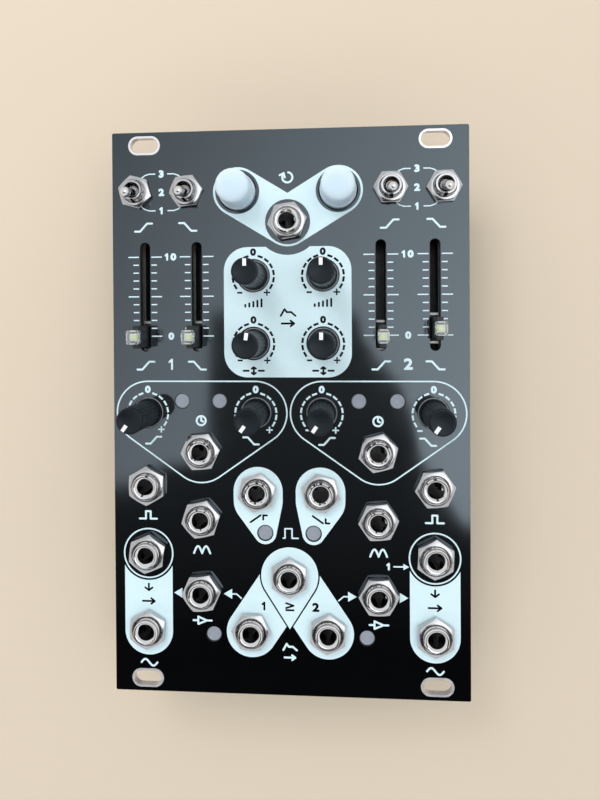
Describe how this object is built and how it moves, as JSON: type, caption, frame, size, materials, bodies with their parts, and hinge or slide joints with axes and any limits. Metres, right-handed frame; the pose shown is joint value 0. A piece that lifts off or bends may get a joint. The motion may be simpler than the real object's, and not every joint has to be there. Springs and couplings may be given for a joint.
{
  "type": "eurorack module",
  "caption": "Flat black synthesizer module with a slotted front plate, knobs, sliders, toggles, buttons and patch jacks over one circuit board.",
  "frame": {"origin": "middle of the module's width and height, at the level of the rear faces that it lies on", "axes": "+Z out of the front plate towards the person who uses it, +Y to the plate's top edge, +X to the right as the plate is read"},
  "size_m": [0.0808, 0.1284, 0.0346],
  "materials": {
    "panel": "gloss black lacquer on a glass-epoxy plate",
    "panel_print": "printed pale ink, slightly satin",
    "board": "satin green lacquer on a glass-epoxy board",
    "nickel": "polished nickel plate",
    "steel": "plain plated sheet steel",
    "bare_metal": "tinned copper ring, satin",
    "black_plastic": "satin moulded black",
    "header_plastic": "matt moulded black",
    "clear_plastic": "clear moulded lens",
    "white_plastic": "milky translucent plastic",
    "lamp": "frosted grey lens, unlit",
    "capacitor_can": "drawn can with a dark printed side",
    "gold": "thin gold plate on pins and pads"
  },
  "bodies": {
    "module_body": {"faceplate": "panel", "circuit_board": "board", "power_header": "header_plastic", "filter_capacitor_left": "capacitor_can", "filter_capacitor_right": "capacitor_can", "cycle_jack": "nickel", "either_jack": "nickel", "a_time_jack": "nickel", "a_trigger_jack": "nickel", "a_gate_jack": "nickel", "a_follow_jack": "nickel", "a_audio_in_jack": "nickel", "a_amplifier_jack": "nickel", "a_audio_out_jack": "nickel", "a_envelope_jack": "nickel", "b_time_jack": "nickel", "b_trigger_jack": "nickel", "b_gate_jack": "nickel", "b_follow_jack": "nickel", "b_audio_in_jack": "nickel", "b_amplifier_jack": "nickel", "b_audio_out_jack": "nickel", "b_envelope_jack": "nickel", "a_rise_switch_body": "nickel", "a_fall_switch_body": "nickel", "a_rise_slider_body": "steel", "a_fall_slider_body": "steel", "a_level_pot": "steel", "a_offset_pot": "steel", "a_rise_time_pot": "steel", "a_fall_time_pot": "steel", "a_cycle_button_body": "header_plastic", "b_rise_switch_body": "nickel", "b_fall_switch_body": "nickel", "b_rise_slider_body": "steel", "b_fall_slider_body": "steel", "b_level_pot": "steel", "b_offset_pot": "steel", "b_rise_time_pot": "steel", "b_fall_time_pot": "steel", "b_cycle_button_body": "header_plastic"},
    "a_rise_switch_lever": {"a_rise_switch_lever": "nickel"},
    "a_fall_switch_lever": {"a_fall_switch_lever": "nickel"},
    "a_rise_slider_lever": {"a_rise_slider_lever": "clear_plastic"},
    "a_fall_slider_lever": {"a_fall_slider_lever": "clear_plastic"},
    "a_level_knob": {"a_level_knob": "black_plastic"},
    "a_offset_knob": {"a_offset_knob": "black_plastic"},
    "a_rise_time_knob": {"a_rise_time_knob": "black_plastic"},
    "a_fall_time_knob": {"a_fall_time_knob": "black_plastic"},
    "a_cycle_button_cap": {"a_cycle_button_cap": "white_plastic"},
    "b_rise_switch_lever": {"b_rise_switch_lever": "nickel"},
    "b_fall_switch_lever": {"b_fall_switch_lever": "nickel"},
    "b_rise_slider_lever": {"b_rise_slider_lever": "clear_plastic"},
    "b_fall_slider_lever": {"b_fall_slider_lever": "clear_plastic"},
    "b_level_knob": {"b_level_knob": "black_plastic"},
    "b_offset_knob": {"b_offset_knob": "black_plastic"},
    "b_rise_time_knob": {"b_rise_time_knob": "black_plastic"},
    "b_fall_time_knob": {"b_fall_time_knob": "black_plastic"},
    "b_cycle_button_cap": {"b_cycle_button_cap": "white_plastic"}
  },
  "joints": [
    {"name": "a_rise_switch_tilt", "type": "hinge", "parent": "module_body", "child": "a_rise_switch_lever", "pos_m": [-0.0349, 0.0505, 0.0236], "axis": [-1, 0, 0], "range_deg": [0, 26]},
    {"name": "a_fall_switch_tilt", "type": "hinge", "parent": "module_body", "child": "a_fall_switch_lever", "pos_m": [-0.02308, 0.0505, 0.0236], "axis": [-1, 0, 0], "range_deg": [0, 26]},
    {"name": "a_rise_slider_travel", "type": "slide", "parent": "module_body", "child": "a_rise_slider_lever", "axis": [0, 1, 0], "range_m": [0, 0.0181]},
    {"name": "a_fall_slider_travel", "type": "slide", "parent": "module_body", "child": "a_fall_slider_lever", "axis": [0, 1, 0], "range_m": [0, 0.0181]},
    {"name": "a_level_turn", "type": "hinge", "parent": "module_body", "child": "a_level_knob", "pos_m": [-0.0079, 0.0312, 0.0222], "axis": [0, 0, -1], "range_deg": [-145, 145]},
    {"name": "a_offset_turn", "type": "hinge", "parent": "module_body", "child": "a_offset_knob", "pos_m": [-0.0079, 0.01581, 0.0222], "axis": [0, 0, -1], "range_deg": [-145, 145]},
    {"name": "a_rise_time_turn", "type": "hinge", "parent": "module_body", "child": "a_rise_time_knob", "pos_m": [-0.0325, 0, 0.0222], "axis": [0, 0, -1], "range_deg": [0, 290]},
    {"name": "a_fall_time_turn", "type": "hinge", "parent": "module_body", "child": "a_fall_time_knob", "pos_m": [-0.0075, 0, 0.0222], "axis": [0, 0, -1], "range_deg": [0, 290]},
    {"name": "a_cycle_button_press", "type": "slide", "parent": "module_body", "child": "a_cycle_button_cap", "axis": [0, 0, -1], "range_m": [0, 0.0012], "stiffness_N_per_m": 500, "springref_m": -0.0004},
    {"name": "b_rise_switch_tilt", "type": "hinge", "parent": "module_body", "child": "b_rise_switch_lever", "pos_m": [0.02308, 0.0505, 0.0236], "axis": [-1, 0, 0], "range_deg": [0, 26]},
    {"name": "b_fall_switch_tilt", "type": "hinge", "parent": "module_body", "child": "b_fall_switch_lever", "pos_m": [0.0349, 0.0505, 0.0236], "axis": [-1, 0, 0], "range_deg": [0, 26]},
    {"name": "b_rise_slider_travel", "type": "slide", "parent": "module_body", "child": "b_rise_slider_lever", "axis": [0, 1, 0], "range_m": [0, 0.0181]},
    {"name": "b_fall_slider_travel", "type": "slide", "parent": "module_body", "child": "b_fall_slider_lever", "axis": [0, 1, 0], "range_m": [-0.00159, 0.01651]},
    {"name": "b_level_turn", "type": "hinge", "parent": "module_body", "child": "b_level_knob", "pos_m": [0.0079, 0.0312, 0.0222], "axis": [0, 0, -1], "range_deg": [-145, 145]},
    {"name": "b_offset_turn", "type": "hinge", "parent": "module_body", "child": "b_offset_knob", "pos_m": [0.0079, 0.01581, 0.0222], "axis": [0, 0, -1], "range_deg": [-145, 145]},
    {"name": "b_rise_time_turn", "type": "hinge", "parent": "module_body", "child": "b_rise_time_knob", "pos_m": [0.0075, 0, 0.0222], "axis": [0, 0, -1], "range_deg": [0, 290]},
    {"name": "b_fall_time_turn", "type": "hinge", "parent": "module_body", "child": "b_fall_time_knob", "pos_m": [0.0325, 0, 0.0222], "axis": [0, 0, -1], "range_deg": [0, 290]},
    {"name": "b_cycle_button_press", "type": "slide", "parent": "module_body", "child": "b_cycle_button_cap", "axis": [0, 0, -1], "range_m": [0, 0.0012], "stiffness_N_per_m": 500, "springref_m": -0.0004}
  ]
}
